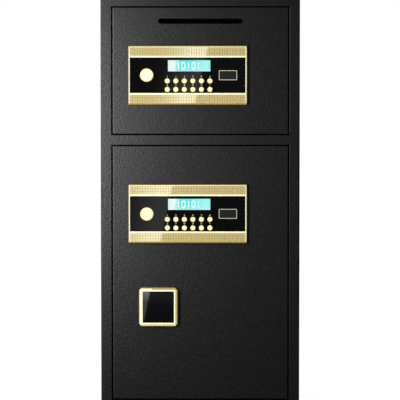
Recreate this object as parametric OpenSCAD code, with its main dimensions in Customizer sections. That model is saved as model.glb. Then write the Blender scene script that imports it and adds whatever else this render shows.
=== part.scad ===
// Double-door deposit safe: a welded steel body with two hinged doors, each with its own
// keypad lock, round bolts and key override. Millimetres, +Z up, the front faces -Y.
// The origin is the centre of the underside.

/* [Body] */
// Width of the body
body_w = 380; // [370:1:440]
// Height of the body
body_h = 800; // [760:1:900]
// Depth of the body
body_d = 350; // [320:1:450]
// Thickness of the body's sheet steel
sheet_t = 3; // [2:0.5:4]
// Radius of the folded corners, seen from the front
corner_r = 3; // [1:0.5:5]
// Radius of the front frame's outer edge
frame_edge_r = 2.5; // [0.5:0.5:2.5]

/* [Front frame] */
// Width of the rail beside the doors
side_rail = 20; // [19:0.5:24]
// Height of the rail above the upper door
top_rail = 22.5; // [20:0.5:30]
// Height of the rail below the lower door
bottom_rail = 24; // [20:0.5:30]
// Height of the rail between the doors
mid_rail = 18; // [17:0.5:30]
// Depth of the folded frame, from the front face to the end of its webs
frame_depth = 25; // [22:0.5:35]
// How far the rebate that the bolts lock behind stands out into the opening
rebate_w = 9; // [6:0.5:9]
// Gap between the back of a door plate and the rebate
rebate_gap = 2.5; // [1.5:0.5:3]
// Extra room that the hinge edge of a door gets to swing in behind the face
hinge_relief = 2; // [1:0.5:3]

/* [Doors] */
// Height of the upper door
upper_door_h = 240.5; // [236:0.5:280]
// Thickness of a door plate
door_t = 6; // [5:0.5:7]
// Gap round a door
door_gap = 2.5; // [2:0.25:3.5]
// Chamfer round the front of a door plate
door_chamfer = 0.8; // [0.2:0.1:1.5]

/* [Door liners] */
// Depth of a liner behind its door plate
liner_depth = 44; // [42:1:50]
// Thickness of a liner's sheet
liner_t = 1.5; // [1:0.25:2]
// Distance from a door's lock edge to its liner
liner_lock_margin = 11.5; // [11:0.5:14]
// Distance from a door's hinge edge to its liner
liner_hinge_margin = 45.5; // [43:0.5:55]
// Distance from a door's top and bottom edges to its liner
liner_end_margin = 9.5; // [9:0.5:14]

/* [Hinges] */
// Distance from a door's hinge edge to the pivot
hinge_inset = 30; // [26:0.5:32]
// Metal left between a door plate and the bore for the pin
pin_wall = 1; // [0.5:0.25:1]
// Diameter of a hinge pin
pin_d = 8; // [6:0.5:8]
// Running clearance round a pin, on the radius
pin_clear = 0.05; // [0.02:0.01:0.1]
// Length of a pin inside its hinge block
pin_reach = 12; // [8:0.5:18]
// Diameter of a pin's head
pin_head_d = 12; // [10:0.5:14]
// Thickness of a pin's head
pin_head_t = 3; // [2:0.5:3]
// Width of a hinge block
hinge_block_w = 18; // [14:0.5:22]
// Height of a hinge block
hinge_block_h = 20; // [16:0.5:30]
// Depth of a hinge block behind the door plate
hinge_block_d = 14; // [11:0.5:16]

/* [Deposit slot and chute] */
// Length of the deposit slot
slot_w = 161; // [140:1:180]
// Height of the deposit slot
slot_h = 10; // [6:0.5:14]
// Distance from the upper door's top edge to the middle of the slot
slot_drop = 26; // [24:0.5:28]
// Thickness of the chute's sheet
chute_t = 1.5; // [1:0.25:2]
// Room between the slot's edge and the inside of the chute
chute_margin = 1.5; // [1:0.25:3]
// How far the chute reaches behind the liner
chute_reach = 24; // [18:1:40]
// How far the deflector hangs below the chute
deflector_drop = 34; // [20:1:50]
// Depth of the teeth along the deflector's edge
tooth_h = 6; // [3:0.5:10]
// Number of teeth that stop notes from being fished out
teeth = 16; // [8:1:24]

/* [Lock panel] */
// Width of a lock panel
panel_w = 225; // [224:1:240]
// Height of a lock panel
panel_h = 112; // [110:1:120]
// How far a lock panel stands out from its door
panel_t = 10; // [9:0.5:14]
// Chamfer round the front of a lock panel
panel_chamfer = 1.5; // [1:0.25:2]
// Distance from a door's top edge to the middle of its panel
panel_drop = 129; // [120:1:140]
// Distance from a door's lock edge to the middle of its panel
panel_inset = 143.5; // [141:0.5:150]
// Height of the patterned band above and below the glass
band_h = 16; // [13:0.5:17]
// Height of the bright bead between a band and the glass
bead_h = 3.25; // [2:0.25:4]
// Depth of a band below the beads
band_sink = 0.8; // [0.4:0.1:1.5]
// Width of the bright rim at each side of the panel
rim_w = 2.5; // [2.25:0.25:5]
// Width of the bright lip between a band and the panel's chamfer
lip_w = 1.5; // [1:0.25:3]
// Thickness of the glass
glass_t = 3; // [2:0.25:4]
// Depth of the glass's face below the beads
glass_sink = 0.5; // [0.2:0.1:1]
// Clearance round the glass and what passes through it
glass_clear = 0.2; // [0.1:0.05:0.4]

/* [Display] */
// Width of the display
display_w = 80.6; // [70:0.2:84]
// Height of the display
display_h = 21.2; // [16:0.2:23]
// Thickness of the display module
display_t = 5; // [4:0.5:6]
// Distance of the display's middle to the right of the panel's middle
display_x = 3; // [0:0.5:6]
// Height of the display's middle above the panel's middle
display_z = 18; // [16:0.5:20]

/* [Keys] */
// Number of columns of keys
key_columns = 6; // [6:1:6]
// Diameter of a key's cap
key_d = 10; // [8:0.1:12]
// Spacing of the keys along a row
key_pitch = 16.2; // [14.5:0.1:16.5]
// Spacing of the two rows of keys
key_row_pitch = 16.2; // [14.5:0.1:16.5]
// Distance of the key field's middle to the right of the panel's middle
key_x = 2; // [0:0.5:4]
// Height of the upper row of keys above the panel's middle
key_z = -10.7; // [-12:0.1:-8]
// How far a key stands out from the glass
key_proud = 1.5; // [1.2:0.1:3]
// Travel of a key
key_travel = 1; // [0.5:0.1:1]
// Width of the flange that holds a key behind the glass
key_flange = 0.8; // [0.5:0.1:1.2]

/* [Knob and crank] */
// Diameter of the knob
knob_d = 25.2; // [20:0.1:32]
// Height of the knob above the glass
knob_h = 11; // [8:0.5:18]
// Distance of the knob to the left of the panel's middle
knob_x = 77.5; // [76:0.5:82]
// Diameter of the knob's shaft
shaft_d = 10; // [8:0.5:10]
// Running clearance round the shaft, on the radius
shaft_clear = 0.1; // [0.05:0.01:0.1]
// Diameter of the spigot that carries the crank
spigot_d = 8; // [6:0.5:8]
// Turn of the knob from open to locked
knob_turn = 70; // [50:1:80]
// Diameter of the crank's pin
crank_pin_d = 7; // [5:0.5:7]
// Thickness of the crank
crank_t = 5; // [4:0.5:6]
// Clearance of the crank's pin in its slot, on the radius
crank_clear = 0.4; // [0.35:0.05:0.6]

/* [Boltwork] */
// Diameter of a bolt
bolt_d = 18; // [14:0.5:18]
// Length of a bolt
bolt_l = 39; // [36:1:40]
// Throw of the bolts
bolt_throw = 18; // [12:0.5:18]
// Gap between an extended bolt and the rebate
bolt_gap = 1.5; // [1:0.25:3]
// Clearance of a bolt in the liner, on the radius
bolt_clear = 0.3; // [0.1:0.05:0.5]
// Distance of the upper door's bolts above and below its lock panel's middle
upper_bolt_spread = 50; // [44:1:56]
// Height of the lower door's highest bolt above its lock panel's middle
lower_bolt_rise = 37; // [35:0.5:44]
// Distance between the lower door's bolts
lower_bolt_pitch = 150; // [130:1:170]
// Width of the bar that carries the bolts
carriage_w = 45; // [44:1:47]
// Thickness of the bar
carriage_t = 4; // [3:0.5:5]
// Length of the bar past its outer bolts
carriage_end = 14; // [12:1:18]
// Overlap of a bolt and the bar
bolt_seat = 10; // [6:0.5:12]
// Diameter of a guide stud
guide_d = 6; // [5:0.5:7]
// Distance of a guide stud from the bar's lock edge
guide_inset = 9; // [8:0.5:10]
// Clearance of a guide stud in its slot, on the radius
guide_clear = 0.3; // [0.15:0.05:0.5]
// Height of the tongue that the plunger rests over
tongue_h = 12; // [8:0.5:14]
// Length of the tongue
tongue_l = 30; // [28:0.5:34]

/* [Solenoid] */
// Diameter of the plunger
plunger_d = 7; // [5:0.5:8]
// Lift of the plunger
plunger_lift = 2; // [1:0.5:4]
// Gap between the plunger and the tongue
plunger_gap = 0.3; // [0.2:0.05:0.5]
// Length of the plunger outside the solenoid
plunger_out = 10; // [8:0.5:14]
// Diameter of the coil
coil_d = 20; // [16:0.5:22]
// Length of the coil
coil_l = 30; // [24:1:36]
// Thickness of the solenoid's yoke
yoke_t = 2; // [1.5:0.25:3]
// Width of the solenoid's yoke
yoke_w = 26; // [24:0.5:30]

/* [Key override] */
// Distance of the keyhole to the right of the panel's middle
keyhole_x = 76.7; // [74:0.5:80]
// Width of the keyhole cover
cover_w = 34.5; // [28:0.5:38]
// Height of the keyhole cover
cover_h = 18.5; // [18.5:0.5:24]
// Thickness of the rim round the keyhole cover
cover_rim = 1.5; // [1:0.25:3]
// How far the keyhole cover stands out from the glass
cover_proud = 1.6; // [0.5:0.1:3]
// Corner radius of the keyhole cover
cover_r = 1.5; // [1:0.5:6]
// Depth of the recess for the keyhole cover, from the panel's front
cover_recess = 6; // [5:0.5:7]
// Outer diameter of the lock barrel
barrel_d = 17; // [16:0.5:17.5]
// Diameter of the lock's plug
plug_d = 12; // [10:0.5:13]
// Length of the lock barrel behind the door plate
barrel_back = 16; // [12:0.5:19]
// Length of the cam on the plug
cam_l = 24; // [16:0.5:28]
// Width of the cam
cam_w = 10; // [8:0.5:12]
// Thickness of the cam
cam_t = 3; // [2:0.5:4]

/* [Battery box and reset button] */
// Width of the battery box
battery_w = 66; // [60:1:70]
// Height of the battery box
battery_h = 60; // [56:1:64]
// Depth of the battery box
battery_d = 18; // [16:0.5:20]
// Width of the lid's flange round the battery box
lid_flange = 4; // [3:0.5:6]
// Thickness of the battery lid
lid_t = 2; // [1.5:0.25:3]
// Distance of the battery box's middle to the right of the keyhole
battery_shift = 3; // [0:0.5:6]
// Height of the upper battery box's middle above the lower end of its liner
upper_battery_rise = 36; // [35:0.5:50]
// Distance of the lower battery box's middle below the panel's middle
lower_battery_drop = 66; // [60:1:120]
// Diameter of the reset button
reset_d = 8; // [6:0.5:10]
// Distance of the reset button above the panel's middle
reset_rise = 30; // [24:1:34]
// Travel of the reset button
reset_travel = 1; // [0.5:0.1:1.5]

/* [Badge] */
// Width of the badge
badge_w = 74; // [72:1:90]
// Width of the square glass in the badge
badge_glass_w = 60; // [46:0.5:60]
// Length cut off each corner of the badge, along its side
badge_corner = 5.5; // [3:0.5:8]
// How far the badge stands out from the door
badge_t = 15; // [8:0.5:20]
// Width of the bevel round the badge
badge_bevel = 4.5; // [2:0.5:4.5]
// Thickness of the badge's glass
badge_glass_t = 2.5; // [1.5:0.25:3]
// Distance from the lower door's lock edge to the badge's middle
badge_inset = 87.5; // [80:0.5:100]
// Distance from the lower door's top edge to the badge's middle
badge_drop = 307; // [290:1:330]

/* [Shelf and anchors] */
// Height of the shelf's top above the underside
shelf_z = 250; // [200:1:320]
// Thickness of the shelf's sheet
shelf_t = 1.5; // [1:0.25:2.5]
// Height of the shelf's folded edges
shelf_fold = 14; // [8:1:20]
// Distance from the liners to the front of the shelf
shelf_setback = 15; // [12:1:40]
// Clearance at each side of the shelf
shelf_clear = 1; // [0.5:0.25:2]
// Width of the legs of the shelf's brackets
bracket_w = 18; // [14:1:24]
// Diameter of the anchor holes
anchor_d = 12; // [8:0.5:14]
// Spacing of the base anchors across the width
anchor_x = 240; // [180:5:260]
// Spacing of the base anchors along the depth
anchor_y = 200; // [160:5:220]
// Height of the wall anchors above the underside
wall_anchor_z = 640; // [600:5:680]

/* [Hidden] */
$fn = 64;
eps = 0.05;
DOORS = ["upper", "lower"];
KEY_NAMES = ["1", "2", "3", "4", "5", "enter", "6", "7", "8", "9", "0", "clear"];
DOOR_PARTS = [
    "door_plate", "door_liner", "panel_frame", "panel_glass", "display", "knob", "crank",
    "bolt_carriage", "solenoid", "plunger", "keyhole_cover", "lock_plug", "battery_lid",
    "reset_button",
];

// Planes from the front to the back of the body
front_y = -body_d / 2;
back_y = body_d / 2;
frame_back_y = front_y + sheet_t;
web_end_y = front_y + frame_depth;
plate_back_y = front_y + door_t;
rebate_y = plate_back_y + rebate_gap;
rebate_end_y = rebate_y + sheet_t;
liner_y = plate_back_y + liner_depth;
panel_y = front_y - panel_t;
glass_y = panel_y + glass_sink;
glass_back_y = glass_y + glass_t;

// Openings and doors
open_x = body_w / 2 - side_rail;
door_x = open_x - door_gap;
door_w = 2 * door_x;
lower_door_h = body_h - top_rail - bottom_rail - mid_rail - 4 * door_gap - upper_door_h;
inner_x = body_w / 2 - sheet_t;
function door_h(d) = d == "upper" ? upper_door_h : lower_door_h;
function door_z0(d) = d == "upper" ? body_h - top_rail - door_gap - upper_door_h : bottom_rail + door_gap;
function door_z1(d) = door_z0(d) + door_h(d);
function panel_mid_z(d) = door_z1(d) - panel_drop;

// Hinges
pivot_x = door_x - hinge_inset;
pivot_y = plate_back_y + pin_wall + pin_d / 2;
rebate_stop_x = door_x - liner_hinge_margin - 4;

// Liners and chute
liner_x0 = -door_x + liner_lock_margin;
liner_x1 = door_x - liner_hinge_margin;
slot_z = door_z1("upper") - slot_drop;
chute_w = slot_w + 2 * chute_margin;
chute_h = slot_h + 2 * chute_margin;
chute_end_y = liner_y + chute_reach;
chute_clear = 0.3;

// Lock panel
panel_x = -door_x + panel_inset;
glass_w = panel_w - 2 * rim_w;
glass_h = panel_h - 2 * (panel_chamfer + lip_w + band_h + bead_h);
display_back_y = glass_y + display_t;
key_flange_t = 1;
key_well = 0.3;
function key_pos(k) = [
    panel_x + key_x + (k % key_columns - (key_columns - 1) / 2) * key_pitch,
    key_z - floor(k / key_columns) * key_row_pitch
];

// Boltwork: the crank's pin stands half the knob's turn to the right of upright when open
knob_pos_x = panel_x - knob_x;
crank_r = bolt_throw / 2 / sin(knob_turn / 2);
crank_pin_x = knob_pos_x + bolt_throw / 2;
crank_low = crank_r * cos(knob_turn / 2);
bolt_y = rebate_end_y + bolt_gap + bolt_d / 2;
bolt_tail_x = liner_x0 + bolt_l;
carriage_x0 = bolt_tail_x - bolt_seat;
carriage_x1 = carriage_x0 + carriage_w;
crank_y = bolt_y - carriage_t / 2 - 3 - crank_t;
guide_x = carriage_x0 + guide_inset;
function bolt_zs(d) = d == "upper"
    ? [for (s = [-1, 1]) panel_mid_z(d) + s * upper_bolt_spread]
    : [for (i = [2:-1:0]) panel_mid_z(d) + lower_bolt_rise - i * lower_bolt_pitch];
function guide_zs(d) = [bolt_zs(d)[0] + bolt_d + 4, panel_mid_z(d) + (d == "upper" ? 34 : -30)];

// Solenoid above the end of the tongue
plunger_x = carriage_x1 + tongue_l - plunger_d / 2 - 5;
tongue_top = tongue_h / 2;
solenoid_z = tongue_top + plunger_gap + plunger_out;
solenoid_h = coil_l + 2 * yoke_t;
plunger_room = 0.1;

// Key override, battery box and reset button
keyhole_pos_x = panel_x + keyhole_x;
recess_y = panel_y + cover_recess;
barrel_y0 = recess_y + 0.4;
barrel_y1 = plate_back_y + barrel_back;
plug_clear = 0.05;
battery_x = keyhole_pos_x + battery_shift;
function battery_mid_z(d) = d == "upper"
    ? door_z0(d) + liner_end_margin + upper_battery_rise
    : panel_mid_z(d) - lower_battery_drop;
lid_clear = 0.3;
reset_flange = 1.2;

// A block between two corners
module block(low, high) {
    translate(low) cube(high - low);
}

// Extrudes an x, z outline along Y
module along_y(y0, y1) {
    translate([0, y1, 0]) rotate([90, 0, 0]) linear_extrude(y1 - y0) children();
}

// Extrudes a y, z outline along X
module along_x(x0, x1) {
    translate([x0, 0, 0]) rotate([90, 0, 90]) linear_extrude(x1 - x0) children();
}

// A rod along Y at x, z
module rod_y(d, y0, y1, x, z) {
    translate([x, y0, z]) rotate([-90, 0, 0]) cylinder(d = d, h = y1 - y0);
}

// A centred rectangle with rounded corners
module rounded_rect(size, r) {
    square([size[0] - 2 * r, size[1]], center = true);
    square([size[0], size[1] - 2 * r], center = true);
    for (sx = [-1, 1], sy = [-1, 1])
        translate([sx * (size[0] / 2 - r), sy * (size[1] / 2 - r)]) circle(r);
}

// A half outline that runs from y0 to y1 and is chamfered at the y0 end
module chamfered_profile(half, y0, y1, c) {
    polygon([[y0, c - half], [y0 + c, -half], [y1, -half], [y1, half], [y0 + c, half], [y0, half - c]]);
}

// A plate whose four front edges are chamfered, centred on x, z
module chamfered_plate(w, h, y0, y1, c) {
    intersection() {
        along_x(-w / 2, w / 2) chamfered_profile(h / 2, y0, y1, c);
        translate([0, 0, -h / 2]) linear_extrude(h)
            mirror([1, -1, 0]) chamfered_profile(w / 2, y0, y1, c);
    }
}

module cabinet_shell() {
    bracket_z = shelf_z - shelf_fold;
    shelf_front = liner_y + shelf_setback;
    color([0.30, 0.30, 0.30]) {
        difference() {
            along_y(frame_back_y, back_y)
                translate([0, body_h / 2]) rounded_rect([body_w, body_h], corner_r);
            block(
                [-inner_x, frame_back_y - 1, sheet_t],
                [inner_x, back_y - sheet_t, body_h - sheet_t]
            );
            for (sx = [-1, 1], sy = [-1, 1])
                translate([sx * anchor_x / 2, sy * anchor_y / 2, -1]) cylinder(d = anchor_d, h = sheet_t + 2);
            for (sx = [-1, 1])
                rod_y(anchor_d, back_y - sheet_t - 1, back_y + 1, sx * anchor_x / 2, wall_anchor_z);
        }
        for (side = [-1, 1]) scale([side, 1, 1]) along_y(shelf_front + 20, back_y - 25)
            polygon([
                [inner_x + eps, bracket_z], [inner_x - bracket_w, bracket_z],
                [inner_x - bracket_w, bracket_z - 2], [inner_x - 2, bracket_z - 2],
                [inner_x - 2, bracket_z - bracket_w], [inner_x + eps, bracket_z - bracket_w],
            ]);
    }
}

// One opening's folded webs and the rebate on its lock side, top and bottom
module opening_folds(d) {
    z0 = door_z0(d) - door_gap;
    z1 = door_z1(d) + door_gap;
    web_x = open_x + hinge_relief;
    for (z = [z0 - sheet_t, z1])
        block([-open_x - sheet_t, frame_back_y - eps, z], [web_x + sheet_t, web_end_y, z + sheet_t]);
    block(
        [web_x, frame_back_y - eps, z0 - sheet_t],
        [web_x + sheet_t, web_end_y, z1 + sheet_t]
    );
    block(
        [-open_x - sheet_t, frame_back_y - eps, z0 - sheet_t],
        [-open_x, rebate_end_y, z1 + sheet_t]
    );
    block([-open_x - eps, rebate_y, z0 - eps], [-open_x + rebate_w, rebate_end_y, z1 + eps]);
    for (z = [z0 - eps, z1 - rebate_w])
        block([-open_x - eps, rebate_y, z], [rebate_stop_x, rebate_end_y, z + rebate_w + eps]);
}

module front_frame() {
    color([0.31, 0.31, 0.31]) difference() {
        union() {
            difference() {
                intersection() {
                    along_y(front_y, frame_back_y)
                        translate([0, body_h / 2]) rounded_rect([body_w, body_h], corner_r);
                    linear_extrude(body_h)
                        rounded_rect([body_w, body_d], frame_edge_r);
                    along_x(-body_w / 2, body_w / 2)
                        translate([0, body_h / 2]) rounded_rect([body_d, body_h], frame_edge_r);
                }
                for (d = DOORS) block(
                    [-open_x, front_y - 1, door_z0(d) - door_gap],
                    [open_x, frame_back_y + 1, door_z1(d) + door_gap]
                );
            }
            for (d = DOORS) opening_folds(d);
        }
        for (d = DOORS)
            translate([pivot_x, pivot_y, door_z0(d) - door_gap - sheet_t - 1])
                cylinder(r = pin_d / 2 + pin_clear, h = door_h(d) + 2 * (door_gap + sheet_t + 1));
    }
}

module divider() {
    z0 = door_z1("lower") + door_gap;
    z1 = door_z0("upper") - door_gap;
    color([0.30, 0.30, 0.30]) difference() {
        block([-inner_x, web_end_y, z0], [inner_x, back_y - sheet_t, z1]);
        block(
            [-inner_x + sheet_t, web_end_y + sheet_t, z0 - 1],
            [inner_x - sheet_t, back_y - 2 * sheet_t, z1 - sheet_t]
        );
    }
}

module lower_shelf() {
    w = inner_x - shelf_clear;
    y0 = liner_y + shelf_setback;
    y1 = back_y - sheet_t - shelf_clear;
    color([0.36, 0.36, 0.36]) difference() {
        block([-w, y0, shelf_z - shelf_fold], [w, y1, shelf_z]);
        block(
            [-w + shelf_t, y0 + shelf_t, shelf_z - shelf_fold - 1],
            [w - shelf_t, y1 - shelf_t, shelf_z - shelf_t]
        );
    }
}

// A pin through a web into a hinge block, with its head inside the rail; end is 1 at a door's top
module hinge_pin(d, end) {
    web_z = end > 0 ? door_z1(d) : door_z0(d);
    translate([pivot_x, pivot_y, web_z]) mirror([0, 0, end > 0 ? 0 : 1]) {
        translate([0, 0, -pin_reach]) cylinder(d = pin_d, h = pin_reach + door_gap + sheet_t + eps);
        translate([0, 0, door_gap + sheet_t]) cylinder(d = pin_head_d, h = pin_head_t);
        if (end < 0) translate([0, 0, 0.1]) cylinder(d = pin_head_d, h = door_gap - 0.1);
    }
}

module hinge_pins() {
    color([0.72, 0.72, 0.72]) for (d = DOORS, end = [-1, 1]) hinge_pin(d, end);
}

// A slot outline with round ends, centred on x, z
module slot_outline(length, width) {
    square([length - width, width], center = true);
    for (s = [-1, 1]) translate([s * (length - width) / 2, 0]) circle(d = width);
}

// A hole for the knob's shaft; z is the height of its axis
module shaft_hole(y0, y1, z) {
    rod_y(shaft_d + 2 * shaft_clear, y0, y1, knob_pos_x, z);
}

module door_plate(d) {
    zm = panel_mid_z(d);
    bore_h = pin_reach + 1;
    color([0.33, 0.33, 0.33]) difference() {
        union() {
            translate([0, 0, door_z0(d) + door_h(d) / 2])
                chamfered_plate(door_w, door_h(d), front_y, plate_back_y, door_chamfer);
            for (z = [door_z0(d), door_z1(d) - hinge_block_h]) block(
                [pivot_x - hinge_block_w / 2, plate_back_y - eps, z],
                [pivot_x + hinge_block_w / 2, plate_back_y + hinge_block_d, z + hinge_block_h]
            );
            rod_y(barrel_d, barrel_y0, barrel_y1, keyhole_pos_x, zm);
            for (z = guide_zs(d)) {
                rod_y(guide_d, plate_back_y - eps, bolt_y + carriage_t / 2 + 2.4, guide_x, z);
                rod_y(guide_d + 4, bolt_y + carriage_t / 2 + 0.4, bolt_y + carriage_t / 2 + 2.4, guide_x, z);
            }
        }
        shaft_hole(front_y - 1, plate_back_y + 1, zm);
        rod_y(plug_d + 2 * plug_clear, barrel_y0 - 1, barrel_y1 + 1, keyhole_pos_x, zm);
        for (z = [door_z0(d) - 1, door_z1(d) - bore_h])
            translate([pivot_x, pivot_y, z]) cylinder(r = pin_d / 2 + pin_clear, h = bore_h + 1);
        if (d == "upper") along_y(front_y - 1, plate_back_y + 1)
            translate([0, slot_z]) slot_outline(slot_w, slot_h);
    }
}

module door_liner(d) {
    z0 = door_z0(d) + liner_end_margin;
    z1 = door_z1(d) - liner_end_margin;
    bz = battery_mid_z(d);
    bw = battery_w / 2;
    bh = battery_h / 2;
    color([0.22, 0.22, 0.22]) difference() {
        union() {
            difference() {
                block([liner_x0, plate_back_y, z0], [liner_x1, liner_y, z1]);
                block(
                    [liner_x0 + liner_t, plate_back_y - 1, z0 + liner_t],
                    [liner_x1 - liner_t, liner_y - liner_t, z1 - liner_t]
                );
            }
            block(
                [battery_x - bw - liner_t, liner_y - battery_d - liner_t, bz - bh - liner_t],
                [battery_x + bw + liner_t, liner_y - eps, bz + bh + liner_t]
            );
        }
        block([battery_x - bw, liner_y - battery_d, bz - bh], [battery_x + bw, liner_y + 1, bz + bh]);
        rod_y(reset_d + 2 * lid_clear, liner_y - liner_t - 1, liner_y + 1, battery_x, panel_mid_z(d) + reset_rise);
        for (z = bolt_zs(d)) translate([liner_x0 - 1, bolt_y, z]) rotate([0, 90, 0])
            cylinder(r = bolt_d / 2 + bolt_clear, h = liner_t + 2);
        if (d == "upper") block(
            [-chute_w / 2 - chute_t - chute_clear, liner_y - liner_t - 1, slot_z - chute_h / 2 - chute_t - chute_clear],
            [chute_w / 2 + chute_t + chute_clear, liner_y + 1, slot_z + chute_h / 2 + chute_t + chute_clear]
        );
    }
}

module panel_frame(d) {
    band_mid = glass_h / 2 + bead_h + band_h / 2;
    color([0.80, 0.73, 0.52]) translate([0, 0, panel_mid_z(d)]) difference() {
        translate([panel_x, 0, 0]) chamfered_plate(panel_w, panel_h, panel_y, front_y, panel_chamfer);
        block(
            [panel_x - glass_w / 2, panel_y - 1, -glass_h / 2],
            [panel_x + glass_w / 2, glass_back_y, glass_h / 2]
        );
        for (s = [-1, 1]) block(
            [panel_x - glass_w / 2, panel_y - 1, s * band_mid - band_h / 2],
            [panel_x + glass_w / 2, panel_y + band_sink, s * band_mid + band_h / 2]
        );
        block(
            [panel_x + display_x - display_w / 2, panel_y, display_z - display_h / 2],
            [panel_x + display_x + display_w / 2, display_back_y, display_z + display_h / 2]
        );
        for (k = [0:len(KEY_NAMES) - 1]) rod_y(
            key_d + 2 * (key_flange + glass_clear), glass_back_y - eps,
            glass_back_y + key_flange_t + key_travel + key_well, key_pos(k)[0], key_pos(k)[1]
        );
        shaft_hole(panel_y, front_y + 1, 0);
        rod_y(barrel_d + 2 * glass_clear, panel_y, front_y + 1, keyhole_pos_x, 0);
        along_y(panel_y, recess_y) translate([keyhole_pos_x, 0])
            rounded_rect([cover_w + 2 * glass_clear, cover_h + 2 * glass_clear], cover_r);
    }
}

module panel_glass(d) {
    w = glass_w / 2 - glass_clear;
    h = glass_h / 2 - glass_clear;
    color([0.05, 0.05, 0.05]) translate([0, 0, panel_mid_z(d)]) difference() {
        block([panel_x - w, glass_y, -h], [panel_x + w, glass_back_y, h]);
        block(
            [panel_x + display_x - display_w / 2, glass_y - 1, display_z - display_h / 2],
            [panel_x + display_x + display_w / 2, glass_back_y + 1, display_z + display_h / 2]
        );
        for (k = [0:len(KEY_NAMES) - 1])
            rod_y(key_d + 2 * glass_clear, glass_y - 1, glass_back_y + 1, key_pos(k)[0], key_pos(k)[1]);
        shaft_hole(glass_y - 1, glass_back_y + 1, 0);
        along_y(glass_y - 1, glass_back_y + 1) translate([keyhole_pos_x, 0])
            rounded_rect([cover_w + 2 * glass_clear, cover_h + 2 * glass_clear], cover_r);
    }
}

module display(d) {
    w = display_w / 2 - glass_clear;
    h = display_h / 2 - glass_clear;
    color([0.55, 0.90, 0.92]) translate([panel_x + display_x, 0, panel_mid_z(d) + display_z])
        block([-w, glass_y + 0.3, -h], [w, display_back_y, h]);
}

// One key: a domed cap with a flange that stays behind the glass
module key(d, k) {
    seat = glass_back_y + 0.1;
    front = glass_y - key_proud;
    color([0.93, 0.92, 0.86]) translate([key_pos(k)[0], front, panel_mid_z(d) + key_pos(k)[1]])
        rotate([-90, 0, 0]) rotate_extrude() polygon([
            [0, 0], [key_d / 2 - 0.8, 0], [key_d / 2, 0.8], [key_d / 2, seat - front],
            [key_d / 2 + key_flange, seat - front], [key_d / 2 + key_flange, seat - front + key_flange_t],
            [0, seat - front + key_flange_t],
        ]);
}

// A dished disc on a shaft that passes through the panel and the door
module knob(d) {
    shaft_end = crank_y - glass_y;
    r = knob_d / 2;
    color([0.93, 0.91, 0.78]) translate([knob_pos_x, glass_y, panel_mid_z(d)])
        rotate([-90, 0, 0]) rotate_extrude() polygon([
            [0, -knob_h + 0.6], [r - 3, -knob_h + 0.6], [r - 2.4, -knob_h], [r - 1, -knob_h],
            [r, -knob_h + 1], [r, -1.5], [r - 1, -0.5], [shaft_d / 2, -0.5],
            [shaft_d / 2, shaft_end], [spigot_d / 2, shaft_end],
            [spigot_d / 2, shaft_end + crank_t], [0, shaft_end + crank_t],
        ]);
}

// The crank on the knob's shaft; its pin drives the bolts' bar
module crank(d) {
    end = [crank_pin_x - knob_pos_x, crank_low];
    color([0.70, 0.70, 0.70]) translate([knob_pos_x, 0, panel_mid_z(d)]) difference() {
        union() {
            rod_y(spigot_d + 10, crank_y, crank_y + crank_t, 0, 0);
            rod_y(crank_pin_d + 4, crank_y, crank_y + crank_t, end[0], end[1]);
            rotate([0, knob_turn / 2, 0]) block([-5, crank_y, 0], [5, crank_y + crank_t, crank_r]);
            rod_y(crank_pin_d, crank_y, bolt_y + carriage_t / 2 + 2, end[0], end[1]);
        }
        rod_y(spigot_d + 0.1, crank_y - 1, crank_y + crank_t + 1, 0, 0);
    }
}

// The bar with its bolts, the slot for the crank, the guide slots and the tongue
module bolt_carriage(d) {
    zs = bolt_zs(d);
    zm = panel_mid_z(d);
    top = zs[len(zs) - 1] + carriage_end;
    slot_r = crank_pin_d / 2 + crank_clear;
    color([0.75, 0.75, 0.76]) difference() {
        union() {
            block(
                [carriage_x0, bolt_y - carriage_t / 2, zs[0] - carriage_end],
                [carriage_x1, bolt_y + carriage_t / 2, top]
            );
            block(
                [carriage_x1 - eps, bolt_y - carriage_t / 2, zm - tongue_top],
                [carriage_x1 + tongue_l, bolt_y + carriage_t / 2, zm + tongue_top]
            );
            for (z = zs) translate([liner_x0, bolt_y, z]) rotate([0, 90, 0]) {
                translate([0, 0, 1.5]) cylinder(d = bolt_d, h = bolt_l - 1.5);
                cylinder(d1 = bolt_d - 3, d2 = bolt_d, h = 1.5);
            }
        }
        along_y(bolt_y - carriage_t, bolt_y + carriage_t) {
            translate([crank_pin_x, zm + (crank_low + crank_r) / 2]) rotate(90)
                slot_outline(crank_r - crank_low + 2 * slot_r, 2 * slot_r);
            for (z = guide_zs(d)) translate([guide_x + bolt_throw / 2, z])
                slot_outline(bolt_throw + guide_d + 2 * guide_clear, guide_d + 2 * guide_clear);
        }
    }
}

// A coil in an open yoke that stands on the door plate
module solenoid(d) {
    z0 = panel_mid_z(d) + solenoid_z;
    z1 = z0 + solenoid_h;
    w = yoke_w / 2;
    color([0.62, 0.60, 0.55]) difference() {
        union() {
            for (z = [z0, z1 - yoke_t]) block(
                [plunger_x - w, plate_back_y + yoke_t - eps, z],
                [plunger_x + w, bolt_y + coil_d / 2, z + yoke_t]
            );
            block([plunger_x - w, plate_back_y, z0], [plunger_x + w, plate_back_y + yoke_t, z1]);
            translate([plunger_x, bolt_y, z0 + yoke_t - eps]) cylinder(d = coil_d, h = coil_l + 2 * eps);
        }
        translate([plunger_x, bolt_y, z0 - 1])
            cylinder(r = plunger_d / 2 + plunger_room, h = solenoid_h + 2);
    }
}

// The plunger, with the collar that its return spring bears on
module plunger(d) {
    z0 = panel_mid_z(d) + tongue_top + plunger_gap;
    color([0.78, 0.78, 0.80]) translate([plunger_x, bolt_y, z0]) {
        translate([0, 0, 1]) cylinder(d = plunger_d, h = plunger_out + solenoid_h - 4);
        cylinder(d1 = plunger_d - 1.6, d2 = plunger_d, h = 1);
        translate([0, 0, 3]) cylinder(d = plunger_d + 4, h = 1.2);
    }
}

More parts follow.
